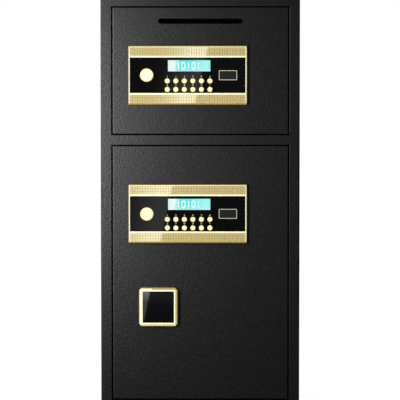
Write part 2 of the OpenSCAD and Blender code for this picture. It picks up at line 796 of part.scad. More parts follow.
// A cap with a raised rim that pulls off the lock
module keyhole_cover(d) {
    front = glass_y - cover_proud;
    color([0.55, 0.52, 0.45]) translate([keyhole_pos_x, 0, panel_mid_z(d)]) difference() {
        along_y(front, recess_y - 0.1) rounded_rect([cover_w, cover_h], cover_r);
        along_y(front - 1, front + 0.8)
            rounded_rect([cover_w - 2 * cover_rim, cover_h - 2 * cover_rim], max(cover_r - cover_rim, 0.5));
        rod_y(barrel_d - 1, recess_y - 1.6, recess_y + 1, 0, 0);
    }
}

// The plug, with its key slot in front and its cam hanging behind the barrel
module lock_plug(d) {
    color([0.76, 0.70, 0.50]) translate([keyhole_pos_x, 0, panel_mid_z(d)]) difference() {
        union() {
            rod_y(plug_d, barrel_y0 + 0.3, barrel_y1 + 0.5 + cam_t, 0, 0);
            rod_y(cam_w + 6, barrel_y1 + 0.5, barrel_y1 + 0.5 + cam_t, 0, 0);
            block([-cam_w / 2, barrel_y1 + 0.5, -cam_l], [cam_w / 2, barrel_y1 + 0.5 + cam_t, 0]);
        }
        block([-1.2, barrel_y0 - 1, -4], [1.2, barrel_y0 + 14, 4]);
    }
}

// The lid of the battery box: a flange on the liner and a lip that fits the box's mouth
module battery_lid(d) {
    w = battery_w / 2;
    h = battery_h / 2;
    color([0.18, 0.18, 0.18]) translate([battery_x, liner_y, battery_mid_z(d)]) {
        block([-w - lid_flange, 0.1, -h - lid_flange], [w + lid_flange, 0.1 + lid_t, h + lid_flange]);
        difference() {
            block([-w + lid_clear, -4, -h + lid_clear], [w - lid_clear, 0.1 + eps, h - lid_clear]);
            block([-w + 2, -5, -h + 2], [w - 2, 0.1, h - 2]);
        }
    }
}

module reset_button(d) {
    color([0.70, 0.10, 0.08]) translate([battery_x, liner_y, panel_mid_z(d) + reset_rise])
        rotate([-90, 0, 0]) {
            translate([0, 0, -liner_t - reset_flange]) cylinder(d = reset_d, h = liner_t + reset_flange + 2);
            translate([0, 0, -liner_t - reset_flange - 0.1]) cylinder(d = reset_d + 4, h = reset_flange);
        }
}

// A duct from the slot through the liner, ending in a toothed deflector that hangs down
module deposit_chute() {
    w = chute_w / 2;
    h = chute_h / 2;
    pitch = 2 * w / teeth;
    low = slot_z - h - deflector_drop;
    color([0.28, 0.28, 0.28]) {
        difference() {
            block(
                [-w - chute_t, plate_back_y, slot_z - h - chute_t],
                [w + chute_t, chute_end_y, slot_z + h + chute_t]
            );
            block([-w, plate_back_y - 1, slot_z - h], [w, chute_end_y - chute_t, slot_z + h]);
            block([-w, liner_y + 3, slot_z - h - chute_t - 1], [w, chute_end_y - chute_t, slot_z]);
        }
        along_y(chute_end_y - chute_t, chute_end_y) polygon(concat(
            [[w + chute_t, slot_z], [-w - chute_t, slot_z], [-w - chute_t, low], [-w, low]],
            [for (i = [0:teeth - 1]) each [
                [-w + (i + 0.5) * pitch, low - tooth_h], [-w + (i + 1) * pitch, low]
            ]],
            [[w + chute_t, low]]
        ));
        for (s = [-1, 1]) scale([s, 1, 1])
            along_x(w, w + chute_t) polygon([
                [liner_y + 3, slot_z - h], [chute_end_y - eps, slot_z - h], [chute_end_y - eps, low],
            ]);
    }
}

// A square with its corners cut off, centred on x, z
module octagon_outline(w, c) {
    a = w / 2;
    polygon([
        [a, a - c], [a - c, a], [c - a, a], [-a, a - c],
        [-a, c - a], [c - a, -a], [a - c, -a], [a, c - a],
    ]);
}

module at_badge() {
    translate([-door_x + badge_inset, 0, door_z1("lower") - badge_drop]) children();
}

// The badge's bevelled frame, with a square pocket for its glass
module badge_frame() {
    color([0.90, 0.84, 0.64]) at_badge() difference() {
        intersection() {
            along_y(front_y - badge_t, front_y) octagon_outline(badge_w, badge_corner);
            chamfered_plate(badge_w, badge_w, front_y - badge_t, front_y, badge_bevel);
        }
        block(
            [-badge_glass_w / 2, front_y - badge_t - 1, -badge_glass_w / 2],
            [badge_glass_w / 2, front_y - badge_t + badge_glass_t + 0.5, badge_glass_w / 2]
        );
    }
}

module badge_glass() {
    w = badge_glass_w / 2 - glass_clear;
    color([0.10, 0.10, 0.10]) at_badge()
        block([-w, front_y - badge_t + 0.5, -w], [w, front_y - badge_t + badge_glass_t + 0.5, w]);
}

cabinet_shell();
front_frame();
divider();
lower_shelf();
hinge_pins();
deposit_chute();
badge_frame();
badge_glass();
for (d = DOORS) {
    door_plate(d);
    door_liner(d);
    panel_frame(d);
    panel_glass(d);
    display(d);
    knob(d);
    crank(d);
    bolt_carriage(d);
    solenoid(d);
    plunger(d);
    keyhole_cover(d);
    lock_plug(d);
    battery_lid(d);
    reset_button(d);
    for (k = [0:len(KEY_NAMES) - 1])
        key(d, k);
}
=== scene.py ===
# %% [markdown]
# A double-door deposit safe: looks around a steel frame
#
# The safe's plates, bolts, hinges and lock parts arrive as exact solids, each already on the body
# that it moves with. This script gives each one its finish and adds what is too fine for the
# steel model: the milled bands of the lock panels, the figures on glass and displays, and the
# liners' screws. The solids are never moved, so every new piece takes its place from a solid's
# own box.

# %% Load the frame
import math

import bpy
import numpy as np
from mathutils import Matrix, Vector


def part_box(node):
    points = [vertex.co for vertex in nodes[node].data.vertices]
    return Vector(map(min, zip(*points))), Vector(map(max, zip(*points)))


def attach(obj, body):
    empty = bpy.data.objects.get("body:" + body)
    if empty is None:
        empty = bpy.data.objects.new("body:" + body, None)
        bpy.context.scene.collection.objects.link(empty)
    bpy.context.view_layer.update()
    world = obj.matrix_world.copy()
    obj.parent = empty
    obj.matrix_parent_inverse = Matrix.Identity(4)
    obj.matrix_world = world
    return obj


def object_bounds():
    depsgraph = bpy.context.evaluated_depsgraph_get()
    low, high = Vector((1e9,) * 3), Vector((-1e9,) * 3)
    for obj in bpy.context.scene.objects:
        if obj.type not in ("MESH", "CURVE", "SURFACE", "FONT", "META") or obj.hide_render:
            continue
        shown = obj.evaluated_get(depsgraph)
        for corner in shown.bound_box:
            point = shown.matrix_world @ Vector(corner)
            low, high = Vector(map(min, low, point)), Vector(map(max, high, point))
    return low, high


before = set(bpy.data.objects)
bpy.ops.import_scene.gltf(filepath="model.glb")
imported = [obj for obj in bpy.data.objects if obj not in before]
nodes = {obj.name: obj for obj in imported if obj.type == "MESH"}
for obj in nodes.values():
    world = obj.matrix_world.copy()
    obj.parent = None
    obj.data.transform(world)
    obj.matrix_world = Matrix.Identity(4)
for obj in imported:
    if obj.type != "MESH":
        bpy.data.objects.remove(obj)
cad_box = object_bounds()
DOORS = ("upper", "lower")

# %% [markdown]
# Camera. A catalogue picture of a tall safe is taken from far off with a long lens, so that its
# sides stay nearly parallel. The picture's slight narrowing towards the bottom says that the
# camera stands a little above the middle and looks down by two and a half degrees. The lens
# follows from the width that the safe's front fills. The top and bottom edges of the safe lie
# just outside the picture.

# %% The camera
PICTURE = 400
FRONT_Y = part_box("front_frame")[0].y
AIM = np.array([-0.0004, FRONT_Y, 0.4084])
CAMERA_DISTANCE = 3.5
LOOK_DOWN = math.radians(2.5)
FOCAL_PIXELS = 1832
SENSOR_MM = 36


def add_camera():
    camera = bpy.data.objects.new("camera", bpy.data.cameras.new("camera"))
    back = np.array([0.0, -math.cos(LOOK_DOWN), math.sin(LOOK_DOWN)])
    camera.location = AIM + CAMERA_DISTANCE * back
    camera.rotation_euler = (math.pi / 2 - LOOK_DOWN, 0, 0)
    camera.data.sensor_width = SENSOR_MM
    camera.data.lens = FOCAL_PIXELS * SENSOR_MM / PICTURE
    bpy.context.scene.collection.objects.link(camera)
    bpy.context.scene.camera = camera
    return camera


camera = add_camera()
print("lens", round(camera.data.lens, 1), "mm at", [round(v, 3) for v in camera.location])

# %% [markdown]
# Shader sums. A finish is easier to read as a formula than as a web of nodes. The class below
# wraps one output socket and turns + - * / and the comparisons that are used here into Math
# nodes. A second class holds one finish: it makes any other node by its type, with its settings
# set first, and joins results to the sockets of the surface shader.


# %% A socket that can be used in sums
class Value:
    def __init__(self, tree, socket):
        self.tree = tree
        self.socket = socket

    def math(self, operation, other, swapped=False):
        node = self.tree.nodes.new("ShaderNodeMath")
        node.operation = operation
        for slot, item in zip(node.inputs, (other, self) if swapped else (self, other)):
            if isinstance(item, Value):
                self.tree.links.new(item.socket, slot)
            else:
                slot.default_value = item
        return Value(self.tree, node.outputs[0])

    def __add__(self, other):
        return self.math("ADD", other)

    def __sub__(self, other):
        return self.math("SUBTRACT", other)

    def __rsub__(self, other):
        return self.math("SUBTRACT", other, swapped=True)

    def __mul__(self, other):
        return self.math("MULTIPLY", other)

    def __gt__(self, other):
        return self.math("GREATER_THAN", other)

    def __lt__(self, other):
        return self.math("LESS_THAN", other)

    def __abs__(self):
        return self.math("ABSOLUTE", 0.0)

    def at_least(self, other):
        return self.math("MAXIMUM", other)

    def between(self, low, high):
        return self.math("MAXIMUM", low).math("MINIMUM", high)

    __radd__ = __add__
    __rmul__ = __mul__


# %% [markdown]
# A finish is one material. Its even values are numbers on the surface shader's own sockets, and
# only what changes over a surface is linked. Patterns read the piece's own coordinates in metres,
# so that they keep their real size and stay in place when a door swings.


# %% A finish and its nodes
def join(tree, item, slot):
    """Links a value or a socket to a slot, or sets the slot to a plain number or colour."""
    if isinstance(item, Value):
        tree.links.new(item.socket, slot)
    elif isinstance(item, bpy.types.NodeSocket):
        tree.links.new(item, slot)
    else:
        slot.default_value = item


class Finish:
    """A material with one surface shader, whose even values are set straight on its sockets."""

    def __init__(self, name, **even):
        self.material = bpy.data.materials.new(name)
        self.material.use_nodes = True
        self.tree = self.material.node_tree
        self.shader = self.tree.nodes["Principled BSDF"]
        for socket, value in even.items():
            label = socket.replace("_", " ").title().replace("Ior", "IOR")
            self.shader.inputs[label].default_value = value

    def node(self, kind, settings=None, sockets=None):
        made = self.tree.nodes.new("ShaderNode" + kind)
        for name, value in (settings or {}).items():
            setattr(made, name, value)
        for name, item in (sockets or {}).items():
            join(self.tree, item, made.inputs[name])
        return made

    def place(self):
        """The three coordinates of a point on the piece, in metres, and their vector."""
        vector = self.node("TexCoord").outputs["Object"]
        parts = self.node("SeparateXYZ", sockets={"Vector": vector})
        return [Value(self.tree, parts.outputs[axis]) for axis in "XYZ"], vector

    def noise(self, scale, detail=2.0, vector=None):
        """A noise with features of 1 / scale metres, from 0 to 1 and mostly near a half."""
        sockets = {"Scale": scale, "Detail": detail, "Vector": vector or self.place()[1]}
        return Value(self.tree, self.node("TexNoise", sockets=sockets).outputs["Fac"])

    def mix(self, factor, first, second):
        """A colour between two colours, each a plain colour or another mix."""
        made = self.node("Mix", {"data_type": "RGBA"})
        join(self.tree, factor, made.inputs[0])
        for item, slot in ((first, 6), (second, 7)):
            join(self.tree, (*item, 1.0) if isinstance(item, tuple) else item, made.inputs[slot])
        return made.outputs[2]

    def ramp(self, factor, stops):
        made = self.node("ValToRGB", sockets={"Fac": factor})
        ramp = made.color_ramp
        while len(ramp.elements) < len(stops):
            ramp.elements.new(0.5)
        for element, (position, colour) in zip(ramp.elements, stops):
            element.position = position
            element.color = (*colour, 1.0)
        return made.outputs["Color"]

    def to(self, socket, item):
        join(self.tree, item, self.shader.inputs[socket])

    def bump(self, height, strength, distance):
        sockets = {"Height": height, "Strength": strength, "Distance": distance}
        self.to("Normal", self.node("Bump", sockets=sockets).outputs["Normal"])

    def blend(self, mask, first, second):
        """The first shader where the mask is 0 and the second where it is 1."""
        made = self.node("MixShader", sockets={"Fac": mask})
        for shader, slot in ((first, 1), (second, 2)):
            join(self.tree, shader.outputs[0], made.inputs[slot])
        return made

    def show(self, shader):
        """Puts a shader on the surface in place of the finish's own."""
        join(self.tree, shader.outputs[0], self.tree.nodes["Material Output"].inputs["Surface"])
        return self.material


def linear(red, green, blue):
    """A colour read off a screen, from 0 to 255, as the light that it stands for."""
    light = []
    for level in (red, green, blue):
        share = level / 255
        light.append(share / 12.92 if share <= 0.04045 else ((share + 0.055) / 1.055) ** 2.4)
    return tuple(light)


def grey(level):
    return level, level, level


# %% [markdown]
# Paint. The body and doors carry a charcoal stove enamel with a fine hammered texture: up close
# it is a field of soft pimples about two and a half millimetres apart, each with its own glint.
# It could be modelled as real bumps, but that would take millions of faces. A noise at that scale
# tips the surface and makes it here duller and there glossier, so the highlight breaks up into
# grain while the plate still reads as flat. A second, slower noise keeps the tone from being dead
# even.


# %% Charcoal enamel
# The grey of the painted highlight on edges that face the lamp.
EDGE_HIGHLIGHT_TONE = 0.11
GRAIN_SCALE = 380
DRIFT_SCALE = 14
GRAIN_SHARE = 1.6
DRIFT_SHARE = 0.3
GRAIN_MIDDLE = 0.45
DARK_SHARE, LIGHT_SHARE = 0.75, 1.25
GLOSS_SPREAD = 0.24
GRAIN_DEPTH = 0.00035


def facing(finish):
    """A surface's own normal, as three values: to the right, up and forward."""
    normal = finish.node("NewGeometry").outputs["Normal"]
    parts = finish.node("SeparateXYZ", sockets={"Vector": normal})
    x, y, up = (Value(finish.tree, parts.outputs[axis]) for axis in "XYZ")
    return x, up, y * -1


def charcoal_enamel(name, tone, gloss, painted_highlight=None):
    """tone is the enamel's plain grey; the last argument, if given, says where edges get a
    painted highlight, a lighter grey.
    """
    finish = Finish(name, specular_ior_level=0.5)
    grain = finish.noise(GRAIN_SCALE)
    drift = finish.noise(DRIFT_SCALE, detail=1.0)
    level = grain * GRAIN_SHARE + drift * DRIFT_SHARE - GRAIN_MIDDLE
    enamel = finish.mix(level, grey(DARK_SHARE * tone), grey(LIGHT_SHARE * tone))
    if painted_highlight:
        # Painted highlight: where the mask says, the enamel is mixed towards a lighter grey.
        enamel = finish.mix(painted_highlight(finish), enamel, grey(EDGE_HIGHLIGHT_TONE))
    finish.to("Base Color", enamel)
    finish.to("Roughness", grain * GLOSS_SPREAD + (gloss - GLOSS_SPREAD / 2))
    finish.bump(grain, 1.0, GRAIN_DEPTH)
    return finish


# %% [markdown]
# Edges and gaps. The folded edges that face the lamp get a painted highlight, and the gaps round
# the doors get painted shade, a dull black, as little light comes out of them again. Both could
# be left to the lamps, but the edges are too fine for that. So masks are worked out from the
# solids' own boxes: a strip along an edge is mixed lighter, and what lies deep in a gap is mixed
# with dull black.


# %% Painted edge highlights and painted gap shade
EDGE_STRIP = 0.0025
GAP_START = 0.0015
GAP_FADE = 0.0015
FRAME_MARGIN = 0.003
# The dull black of the painted shade in gaps and along dark edges.
GAP_SHADE_TONE = grey(0.002)
LEFT_HIGHLIGHT_SHARE = 0.2
RIGHT_HIGHLIGHT_STRIP = 0.0036
RIGHT_HIGHLIGHT_SHARE = 0.36
RIGHT_GAP_SHADE_SHARE = 0.2
SHADED_SHARE = 0.6
DOOR_CHAMFER = 0.0009
DOOR_HIGHLIGHT_STRIP = 0.0019
DOOR_HIGHLIGHT_SHARE = 0.5
CHAMFER_SHADE_SHARE = 0.8
CHUTE_SHADE_SHARE = 0.97
EDGE_HIGHLIGHT_RISE = 1.2
EDGE_HIGHLIGHT_LOW = 0.1
FORWARD = 0.5
SQUARE_FORWARD = 0.9
PARTLY_FORWARD = 0.3


def edge_highlight_level(height):
    """How bright a painted edge highlight is: a level at the floor, and a rise for each metre up.
    """
    return height * EDGE_HIGHLIGHT_RISE + EDGE_HIGHLIGHT_LOW


def frame_edge_highlights(finish):
    """Painted highlight on the folded edges that the lamp catches: the frame's left one, and a
    strip beside each door over its right gap.
    """
    x, y, z = finish.place()[0]
    mask = (x < cad_box[0][0] + EDGE_STRIP) * LEFT_HIGHLIGHT_SHARE
    for door in DOORS:
        low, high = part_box(f"{door}_door_plate")
        beside = (x > high.x) * (x < high.x + RIGHT_HIGHLIGHT_STRIP) * (z > low.z) * (z < high.z)
        mask = mask.at_least(beside * RIGHT_HIGHLIGHT_SHARE)
    return mask * (facing(finish)[2] > FORWARD) * edge_highlight_level(z)


def door_edge_highlights(finish):
    """A painted highlight in a strip along the left edge of each door's face, next to its
    chamfer.
    """
    x, y, z = finish.place()[0]
    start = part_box("upper_door_plate")[0].x + DOOR_CHAMFER
    face = facing(finish)[2] > SQUARE_FORWARD
    return (x > start) * (x < start + DOOR_HIGHLIGHT_STRIP) * face * DOOR_HIGHLIGHT_SHARE * edge_highlight_level(z)


def shade(finish, mask):
    """Mixes the finish with a dull black by a mask: painted shade."""
    dull = finish.node("BsdfDiffuse", sockets={"Color": (*GAP_SHADE_TONE, 1)})
    return finish.show(finish.blend(mask, finish.shader, dull))


def gap_shade(finish):
    """Painted shade: what is deeper than GAP_START and not near the outer sides, weaker in the
    gap at each door's right, and a strip along the frame's right edge.
    """
    low, high = cad_box
    x, y, z = finish.place()[0]
    deep = ((y - (FRONT_Y + GAP_START)) * (1 / GAP_FADE)).between(0.0, 1.0)
    side = abs(x) < high[0] - FRAME_MARGIN
    level = (z > low[2] + FRAME_MARGIN) * (z < high[2] - FRAME_MARGIN)
    # Painted shade is weaker in the gap at each door's right, where the painted highlight lies.
    right_gap = (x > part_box("upper_door_plate")[1].x - DOOR_CHAMFER) * (1 - RIGHT_GAP_SHADE_SHARE)
    # A painted shade line along the front's right edge.
    outer = (x > high[0] - EDGE_STRIP) * (facing(finish)[2] > FORWARD) * SHADED_SHARE
    return (deep * side * level * (1 - right_gap)).at_least(outer)


def left_chamfer_shade(finish):
    """Painted shade on the chamfer at the left of each door, as dark as the gap beside it."""
    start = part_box("upper_door_plate")[0].x
    return (finish.place()[0][0] < start + DOOR_CHAMFER) * CHAMFER_SHADE_SHARE


def inside(finish):
    """Painted shade on faces that look forward; in the chute these are the ones seen through the
    slot.
    """
    return (facing(finish)[2] > PARTLY_FORWARD) * CHUTE_SHADE_SHARE


# %% [markdown]
# One enamel covers body, frame and doors, and the frame and the doors have their own masks of
# painted highlight and painted shade in it. The liners and the chute are sprayed in a lighter,
# duller coat, and the chute's forward faces get painted shade.

# %% The painted pieces' finishes
PAINT_TONE = 0.0034
PAINT_GLOSS = 0.40
LINER_TONE = 0.020
CHUTE_TONE = 0.012
LINER_GLOSS = 0.50
body_enamel = charcoal_enamel("body_enamel", PAINT_TONE, PAINT_GLOSS).material
frame_finish = charcoal_enamel("frame_enamel", PAINT_TONE, PAINT_GLOSS, painted_highlight=frame_edge_highlights)
frame_enamel = shade(frame_finish, gap_shade(frame_finish))
door_finish = charcoal_enamel("door_enamel", PAINT_TONE, PAINT_GLOSS, painted_highlight=door_edge_highlights)
door_enamel = shade(door_finish, left_chamfer_shade(door_finish))
liner_enamel = charcoal_enamel("liner_enamel", LINER_TONE, LINER_GLOSS).material
chute_finish = charcoal_enamel("chute_enamel", CHUTE_TONE, LINER_GLOSS)
# Painted shade: the chute's forward faces are mixed almost wholly with dull black.
chute_enamel = shade(chute_finish, inside(chute_finish))
print("enamel on the body, frame, doors, liners and chute")

# %% [markdown]
# Gold trim. The lock panels' frames and the badge's frame are moulded and plated in a pale
# champagne gold. Faces that look forward are smooth and bright. The bevels get painted light and
# shade, deeper or yellower, each side in its own tone, and the top and bottom of a panel get a
# painted olive shade. The finish takes this from the surface's own direction and place, so the
# tones stay where they are from every side.

# %% Tones of gold
PALE_GOLD = linear(255, 248, 206)
# The next three tones are painted light and shade on the trim: the olive one painted shade on its
# top and bottom bevels and outline, the side one a painted highlight on its right bevel, and the
# dull one painted shade on its left bevel.
SHADED_OLIVE_GOLD = linear(140, 126, 54)
HIGHLIGHT_SIDE_GOLD = linear(255, 253, 200)
SHADED_LEFT_GOLD = linear(190, 182, 146)
BRIGHT_GOLD = linear(255, 250, 212)
# The badge's cream, yellow, bronze and edge tones are painted shade on its bevels and outline;
# the lemon one is painted shade on its bottom bevel and a painted reflection on part of its top
# bevel.
SHADED_CREAM_GOLD = linear(232, 224, 186)
SHADED_YELLOW_GOLD = linear(222, 199, 117)
LEMON_SHADE_AND_REFLECTION = linear(246, 238, 164)
SHADED_BRONZE = linear(184, 162, 104)
SHADED_EDGE_GOLD = linear(146, 118, 52)
BAND_GOLD = linear(218, 198, 126)
BAND_PALE = linear(226, 208, 143)
# Painted shade on the bands' groove slopes: first the sideways ones, then those that look up or
# down.
GROOVE_SHADE_GOLD = linear(118, 100, 48)
LEDGE_SHADE_GOLD = linear(186, 168, 102)
print("champagne gold as light:", [round(light, 2) for light in PALE_GOLD])

# %% [markdown]
# A bevel's tone can't be one hard step, because a bevel turns into the next face over a small
# round. So how far a face looks to one side becomes a share: none up to 13 degrees, all of it
# from 43 degrees on, and a smooth run between. Over the left part of its length the badge's top
# bevel takes the bottom bevel's tone, a painted reflection.


# %% Gold trim
BEVEL_GAIN = 2.2
BEVEL_START = 0.5
PLATING_SCALE = 40
PLATING_WEAR = 0.04


def turned_to(side):
    """A bevel's share: how much it looks that way, times BEVEL_GAIN, less BEVEL_START."""
    return (side * BEVEL_GAIN - BEVEL_START).between(0.0, 1.0)


def gold_trim(node, tones, edge, widths, roughness, metallic, reflection_share=None):
    """Five tones by where a face looks, the four bevel tones painted light and shade, and a
    painted shade line along the outline, widths wide.
    """
    front, left, right, above, below = tones
    finish = Finish(node + "_finish", specular_ior_level=0.5)
    across, up, forward = facing(finish)
    low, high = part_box(node)
    x, y, z = finish.place()[0]
    top, bottom, sides = widths
    outline = (z > high.z - top).at_least(z < low.z + bottom)
    outline = outline.at_least(x < low.x + sides).at_least(x > high.x - sides)
    # Painted reflection: the top bevel takes the bottom bevel's tone over part of its length.
    if reflection_share:
        above = finish.mix(x < low.x + reflection_share * (high.x - low.x), above, below)
    under = turned_to(up * -1)
    tone = finish.mix(turned_to(across * -1), front, left)
    tone = finish.mix(turned_to(across), tone, right)
    tone = finish.mix(turned_to(up), tone, above)
    # The outline's tone is a painted shade line.
    finish.to("Base Color", finish.mix(outline, finish.mix(under, tone, below), edge))
    finish.to("Metallic", under * -metallic + metallic)
    finish.to("Roughness", finish.noise(PLATING_SCALE) * PLATING_WEAR + roughness)
    return finish.material


TRIM_TONES = (PALE_GOLD, SHADED_LEFT_GOLD, HIGHLIGHT_SIDE_GOLD, SHADED_OLIVE_GOLD, SHADED_OLIVE_GOLD)
TRIM_EDGES = (0.0017, 0.0027, 0.0)
BADGE_TONES = (BRIGHT_GOLD, SHADED_CREAM_GOLD, SHADED_YELLOW_GOLD, SHADED_BRONZE, LEMON_SHADE_AND_REFLECTION)
BADGE_EDGES = (0.0016, 0.0008, 0.0012)
BADGE_REFLECTION_SHARE = 0.34


def trim_finish(node):
    return gold_trim(node, TRIM_TONES, SHADED_OLIVE_GOLD, TRIM_EDGES, roughness=0.10, metallic=0.15)


badge_gold = gold_trim("badge_frame", BADGE_TONES, SHADED_EDGE_GOLD, BADGE_EDGES,
                       roughness=0.12, metallic=0.10, reflection_share=BADGE_REFLECTION_SHARE)
print(badge_gold.name, "has", len(badge_gold.node_tree.nodes), "nodes")

# %% [markdown]
# The bands are milled: small pads stand between V grooves. The pads are polished, and mirror the
# softbox as the glass does, so their roughness is near nothing. The grooves' slopes and floors
# are left as the cutter made them, dull, and the slopes get painted shade, deeper on those that
# look sideways. How deep a point lies below the pads, and whether its face slopes, say how rough
# it is.


# %% Gold of the milled bands
BAND_SINK = 0.0008
PAD_RISE = 0.0006
SLOPE_GAIN = 20.0
SIDE_GAIN = 2.0
SIDE_START = 0.5
WEAR_SCALE = 60
WEAR_ROUGHNESS = 0.02
PAD_ROUGHNESS = 0.01
GROOVE_ROUGHNESS = 0.5


def looks_to(side):
    """A slope's share: how much it looks to a side, times SIDE_GAIN, less SIDE_START."""
    return (abs(side) * SIDE_GAIN - SIDE_START).between(0.0, 1.0)


def band_gold(floor_y):
    """Roughness: the pads' own, and GROOVE_ROUGHNESS more where a point is deep or slopes."""
    finish = Finish("band_gold", metallic=0.05, ior=4.0)
    (x, y, z), vector = finish.place()
    depth = ((y - (floor_y - PAD_RISE)) * (1 / PAD_RISE)).between(0.0, 1.0)
    right, up, forward = facing(finish)
    slope = (forward * -SLOPE_GAIN + SLOPE_GAIN).between(0.0, 1.0)
    worn = finish.noise(WEAR_SCALE, detail=3.0, vector=vector)
    pads = finish.mix(worn, BAND_GOLD, BAND_PALE)
    # Painted shade: groove slopes that look up or down, and darker still those that look
    # sideways.
    ledges = finish.mix(looks_to(up), pads, LEDGE_SHADE_GOLD)
    finish.to("Base Color", finish.mix(looks_to(right), ledges, GROOVE_SHADE_GOLD))
    dull = slope.at_least(depth) * GROOVE_ROUGHNESS
    finish.to("Roughness", worn * WEAR_ROUGHNESS + dull + PAD_ROUGHNESS)
    return finish.material


band_finish = band_gold(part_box("upper_panel_frame")[0].y + BAND_SINK)
print("pads rise", PAD_RISE, "m")

# %% [markdown]
# The knob and the keys are turned on a lathe, which leaves a fine grain. Their flat faces look
# forward and are pale, and the turned edge gets painted shade, a darker and yellower tone.


# %% Turned gold
LATHE_SCALE = 900
LATHE_TONE = 0.1
LATHE_ROUGHNESS = 0.1
LATHE_STRENGTH, LATHE_DEPTH = 0.08, 0.0002
FACE_GAIN = 8.0
FACE_START = 7.0


def turned_gold(name, face, rim, roughness):
    """The face's share: how squarely it looks forward, times FACE_GAIN, less FACE_START; the rest
    gets the rim's painted shade.
    """
    finish = Finish(name, metallic=0.12, ior=2.2)
    grain = finish.noise(LATHE_SCALE)
    front = (facing(finish)[2] * FACE_GAIN - FACE_START).between(0.0, 1.0)
    # Painted shade: faces that don't look squarely forward get the rim's yellower tone.
    finish.to("Base Color", finish.mix(front - grain * LATHE_TONE, rim, face))
    finish.to("Roughness", grain * LATHE_ROUGHNESS + roughness)
    finish.bump(grain, LATHE_STRENGTH, LATHE_DEPTH)
    return finish.material


# The second colour of each is the rim's painted shade.
knob_gold = turned_gold("knob_gold", linear(238, 234, 188), linear(226, 206, 112), 0.30)
key_gold = turned_gold("key_gold", linear(252, 246, 186), linear(222, 196, 90), 0.25)

# %% [markdown]
# Black glass. Both lock panels and the badge are polished black. Nearly all that is seen of them
# is what they mirror, so the body colour is almost black, the roughness low, and the studio's
# softboxes draw their slanted edges across them. The badge's glass is a denser one, with a
# painted
# reflection at its top: its colour is lighter there.


# %% Black glass
REFLECTION_FULL_AT = 0.80
REFLECTION_NONE_BELOW = 0.56
HAZE_SCALE = 40
HAZE_ROUGHNESS = 0.01
POLISH = 0.01
DEEP_BLACK = grey(0.0046)
HAZY_BLACK = (0.0062, 0.0062, 0.0063)
PLAIN_BLACK = (0.0062, 0.0062, 0.0064)
TOP_REFLECTION_GREY = grey(0.0186)


def black_glass(name, density):
    """density is the glass's refractive index, and a denser glass mirrors more."""
    finish = Finish(name, ior=density)
    haze = finish.noise(HAZE_SCALE)
    finish.to("Base Color", finish.mix(haze, DEEP_BLACK, HAZY_BLACK))
    finish.to("Roughness", haze * HAZE_ROUGHNESS + POLISH)
    return finish


def reflection_at_top(finish, node):
    """A painted reflection: full above one share of the glass's height, none below a lower share,
    and a smooth run between.
    """
    low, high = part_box(node)
    rise = (finish.place()[0][2] - low.z) * (1 / (high.z - low.z))
    reflection = ((rise - REFLECTION_NONE_BELOW) * (1 / (REFLECTION_FULL_AT - REFLECTION_NONE_BELOW))).between(0.0, 1.0)
    finish.to("Base Color", finish.mix(reflection, PLAIN_BLACK, TOP_REFLECTION_GREY))
    return finish


panel_black = black_glass("panel_black", 1.40).material
# The badge's glass has a painted reflection at its top.
badge_black = reflection_at_top(black_glass("badge_black", 2.13), "badge_glass").material
print(panel_black.name, "and", badge_black.name)

# %% [markdown]
# Metals and plastics inside. The bolts are chromed and ground, the crank, plunger and screws are
# zinc plated, the hinge pins are blackened and the lock plug is brass. The battery lid is dull
# black, the coil's tape brown, and the reset button red. Each has a grain at its own scale, so
# that none of them is one flat colour.


# %% Working metals and plastics
WORK_ROUGHNESS = 0.16
WORK_DEPTH = 0.0003


def worked(name, first, second, scale, roughness, metallic=0.0, bump=0.1, shine=0.5):
    """One grain runs from the first tone to the second, and makes the roughness and the bump."""
    finish = Finish(name, metallic=metallic, specular_ior_level=shine)
    grain = finish.noise(scale, detail=3.0)
    finish.to("Base Color", finish.mix(grain, first, second))
    finish.to("Roughness", grain * WORK_ROUGHNESS + roughness)
    finish.bump(grain, bump, WORK_DEPTH)
    return finish.material


zinc = worked("zinc_plate", (0.46, 0.46, 0.45), (0.62, 0.62, 0.60), 220, 0.28, metallic=0.95)
black_oxide = worked("black_oxide", grey(0.003), grey(0.006), 300, 0.70, shine=0.04)
chrome = worked("ground_chrome", (0.60, 0.61, 0.62), (0.72, 0.72, 0.73), 700, 0.10, 1.0, 0.03)
brass = worked("lock_brass", (0.56, 0.42, 0.18), (0.68, 0.54, 0.26), 400, 0.24, metallic=1.0)
black_plastic = worked("black_plastic", grey(0.012), grey(0.022), 1500, 0.45, bump=0.4)
red_plastic = worked("red_plastic", (0.42, 0.012, 0.010), (0.50, 0.020, 0.014), 900, 0.30)
coil_tape = worked("coil_tape", (0.10, 0.075, 0.03), (0.16, 0.12, 0.05), 260, 0.42, bump=0.5)
print("metals:", zinc.name, black_oxide.name, chrome.name, brass.name)

# %% [markdown]
# The keyhole cover is one moulding in two tones: a champagne rim round a smoky black field. The
# mask is worked out from the distance to the cover's own middle, so the rim is as wide as the
# moulded one.

# %% Keyhole cover in two tones
COVER_RIM = 0.0014
COVER_ROUND = 0.0002
COVER_SCALE = 300
COVER_GLOSS = 0.22
COVER_HAZE = 0.08
COVER_FIELD = (0.008, 0.008, 0.009), (0.013, 0.013, 0.014)
RIM_TONE = linear(186, 178, 156)


